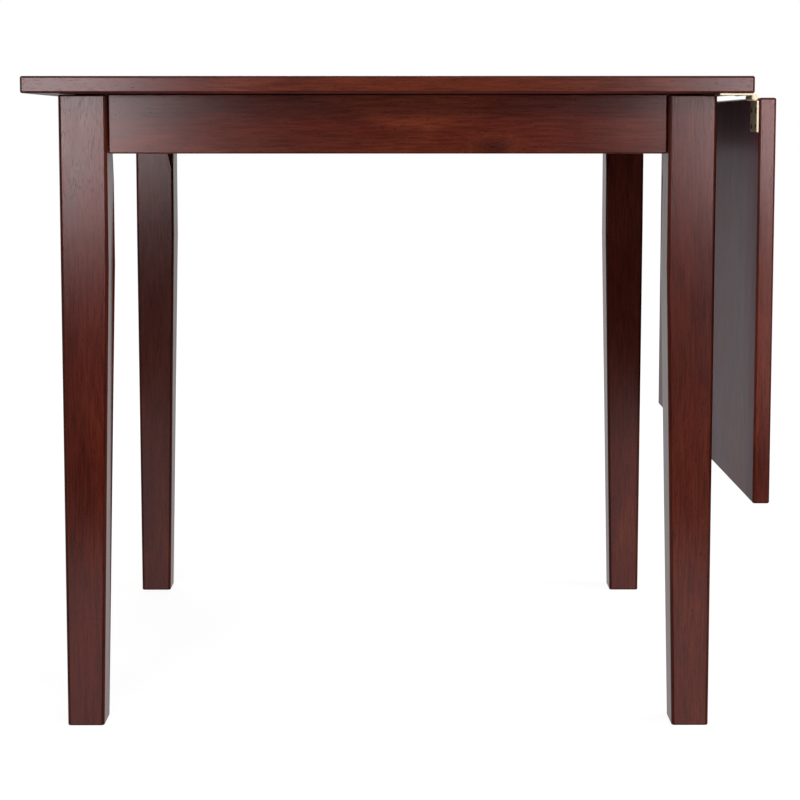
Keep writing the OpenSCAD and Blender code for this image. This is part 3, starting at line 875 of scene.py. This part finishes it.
class TABLE_OT_metal(bpy.types.Operator):
    """Finishes the hinges in brass, and the brackets and fasteners in steel"""
    bl_idname = "dining_table.metal"
    bl_label = "Metal fittings"

    def execute(self, context):
        colours = context.scene.table_metal
        brass = metal("satin_brass", colours.brass, colours.plate_roughness, BRASS_BRUSHED)
        bright_brass = metal("bright_brass", colours.brass, colours.screw_roughness, BRASS_BRUSHED)
        steel = metal("zinc_plated_steel", colours.steel, colours.steel_roughness, STEEL_BRUSHED)
        hinges = []
        for place in HINGES:
            hinges += [f"hinge_{part}_{place}" for part in ("top_plate", "leaf_plate", "pin")]
        dress(hinges, brass)
        dress(["hinge_top_screws", "hinge_leaf_screws"], bright_brass)
        fasteners = ["hanger_bolts", "bolt_washers", "wing_nuts", "bracket_screws"]
        fasteners += ["cleat_top_screws", "cleat_apron_screws", "runner_screws", "keeper_screws"]
        fasteners += ["corner_bracket_" + corner for corner in CORNERS]
        dress(fasteners, steel)
        return {"FINISHED"}


# Studio

def studio_floor(studio):
    """A white floor that shows as the white of the background and keeps the table's shadow."""
    pick_nothing()
    bpy.ops.mesh.primitive_plane_add(size=studio.floor_size, location=(0, 0, 0))
    floor = bpy.context.object
    floor.name = "studio_floor"
    material, nodes = new_material("studio_floor")
    seen = seen_rays(nodes)
    lit = nodes.add("ShaderNodeBsdfDiffuse", None, {"Color": grey(0.80)})
    shadow = nodes.add("ShaderNodeBsdfDiffuse", None, {"Color": grey(0.16)})
    # The glow rises to white away from the table, where the lamps no longer reach
    x, y = nodes.split(nodes.coordinates())[:2]
    away = nodes.ramp((x * x + y * y) ** 0.5, 0.8, 2.4)
    glow_colour = nodes.mix(away, grey(0.90), grey(1.0))
    glow = nodes.add("ShaderNodeEmission", None, {"Color": glow_colour, "Strength": 1.0})
    shown = nodes.add("ShaderNodeAddShader", None, {0: shadow, 1: glow})
    surface = nodes.add("ShaderNodeMixShader", None, {0: seen, 1: lit, 2: shown})
    nodes.add("ShaderNodeOutputMaterial", None, {"Surface": surface})
    floor.data.materials.append(material)


def black_curtain(studio):
    """Black cloth behind the camera and on the floor before it, which only reflections see, so that
    satin wood keeps its colour."""
    half = studio.curtain_width / 2
    back = studio.curtain_y
    sheets = {
        "curtain": ((-half, back, 0), (half, back + CLOTH_THICK, studio.curtain_height)),
        "curtain_cloth": ((-half, back, CLOTH_THICK), (half, studio.cloth_y, 2 * CLOTH_THICK)),
    }
    material, nodes = new_material("black_cloth")
    finish_material(nodes, Base_Color=grey(0.002), Roughness=1.0, Specular_IOR_Level=0.0)
    for name, (low, high) in sheets.items():
        sheet = block(name, low, high)
        sheet.data.materials.append(material)
        sheet.visible_camera = False
        sheet.visible_diffuse = False
        sheet.visible_shadow = False


def seen_rays(nodes):
    """1 for the rays of the camera and of reflections and glass, 0 for those that light things."""
    path = nodes.add("ShaderNodeLightPath")
    outputs = path.socket.node.outputs
    names = ("Is Camera Ray", "Is Glossy Ray", "Is Transmission Ray")
    camera, glossy, transmission = [Value(nodes, outputs[name]) for name in names]
    total = camera + glossy + transmission
    return nodes.add("ShaderNodeMath", {"operation": "MINIMUM"}, {0: total, 1: 1.0})


def studio_room(studio):
    """White all round to the eye, and an even light of its own strength on things."""
    world = bpy.data.worlds.new("studio_room")
    bpy.context.scene.world = world
    world.use_nodes = True
    nodes = Nodes(world.node_tree)
    strength = seen_rays(nodes) * (1.0 - studio.room_light) + studio.room_light
    light = nodes.add("ShaderNodeBackground", None, {"Color": grey(1.0), "Strength": strength})
    nodes.add("ShaderNodeOutputWorld", None, {"Surface": light})


def soft_box(name, place, target, width, height, power, mirrored=True):
    """A rectangular lamp that faces a point of the table; the gloss can leave it out."""
    lamp = bpy.data.lights.new(name, "AREA")
    lamp.shape = "RECTANGLE"
    lamp.size = width
    lamp.size_y = height
    lamp.energy = power
    obj = bpy.data.objects.new(name, lamp)
    bpy.context.scene.collection.objects.link(obj)
    obj.location = place
    obj.rotation_euler = (Vector(target) - Vector(place)).to_track_quat("-Z", "Y").to_euler()
    obj.visible_glossy = mirrored


class TABLE_OT_studio(bpy.types.Operator):
    """Sets up the floor, the room, the lamps and the camera"""
    bl_idname = "dining_table.studio"
    bl_label = "Studio"

    def execute(self, context):
        studio = context.scene.table_studio
        studio_floor(studio)
        studio_room(studio)
        black_curtain(studio)
        # Each lamp: its place, the point that it faces, its width and height, and its power in watts
        middle = (0, 0, 0.5)
        soft_box("left_strip", (-0.765, -2.45, 0.80), middle, 0.33, 0.64, 9.5)
        soft_box("right_strip", (0.845, -2.45, 0.83), middle, 0.31, 0.62, 7.5)
        soft_box("low_strip", (0.94, -2.45, 0.24), middle, 0.20, 0.44, 0.8)
        soft_box("front_top_box", (0, -2.1, 1.65), middle, 1.8, 0.45, 27)
        soft_box("right_fill", (2.4, -1.6, 1.8), middle, 1.0, 1.0, 12, mirrored=False)
        soft_box("side_box", (2.6, -0.4, 1.0), middle, 1.2, 1.2, 70, mirrored=False)
        soft_box("top_box", (0, 0.2, 2.8), middle, 2.0, 2.0, 20)
        soft_box("back_box", (-0.6, 2.6, 1.6), middle, 1.6, 1.2, 25)

        lens = bpy.data.cameras.new("camera")
        lens.sensor_width = 36
        lens.lens = studio.camera_lens
        lens.shift_y = studio.camera_shift
        camera = bpy.data.objects.new("camera", lens)
        context.scene.collection.objects.link(camera)
        camera.location = studio.camera_place
        camera.rotation_euler = (math.pi / 2 - studio.camera_pitch, 0, -studio.camera_yaw)
        context.scene.camera = camera
        context.scene.view_settings.view_transform = "Standard"
        return {"FINISHED"}


class TABLE_PT_panel(bpy.types.Panel):
    """Lists the steps and the settings of the table"""
    bl_idname = "TABLE_PT_panel"
    bl_label = "Drop-leaf table"
    bl_space_type = "VIEW_3D"
    bl_region_type = "UI"
    bl_category = "Table"

    def draw(self, context):
        for step in STEPS:
            self.layout.operator(step.bl_idname)
        for group in ("table_wood", "table_metal", "table_studio"):
            settings = getattr(context.scene, group)
            box = self.layout.box()
            for name in settings.__annotations__:
                box.prop(settings, name)


STEPS = (
    TABLE_OT_top, TABLE_OT_leaf, TABLE_OT_aprons, TABLE_OT_legs,
    TABLE_OT_inner_wood, TABLE_OT_metal, TABLE_OT_studio,
)
GROUPS = {
    "table_wood": TableWoodSettings,
    "table_metal": TableMetalSettings,
    "table_studio": TableStudioSettings,
}


def register():
    for group in GROUPS.values():
        bpy.utils.register_class(group)
    for name, group in GROUPS.items():
        setattr(bpy.types.Scene, name, bpy.props.PointerProperty(type=group))
    for step in STEPS:
        bpy.utils.register_class(step)
    bpy.utils.register_class(TABLE_PT_panel)


def unregister():
    bpy.utils.unregister_class(TABLE_PT_panel)
    for step in reversed(STEPS):
        bpy.utils.unregister_class(step)
    for name, group in GROUPS.items():
        delattr(bpy.types.Scene, name)
        bpy.utils.unregister_class(group)


def main():
    register()
    bpy.ops.dining_table.studio()
    bpy.ops.dining_table.top()
    bpy.ops.dining_table.leaf()
    bpy.ops.dining_table.aprons()
    bpy.ops.dining_table.legs()
    bpy.ops.dining_table.inner_wood()
    bpy.ops.dining_table.metal()


if __name__ == "__main__":
    main()
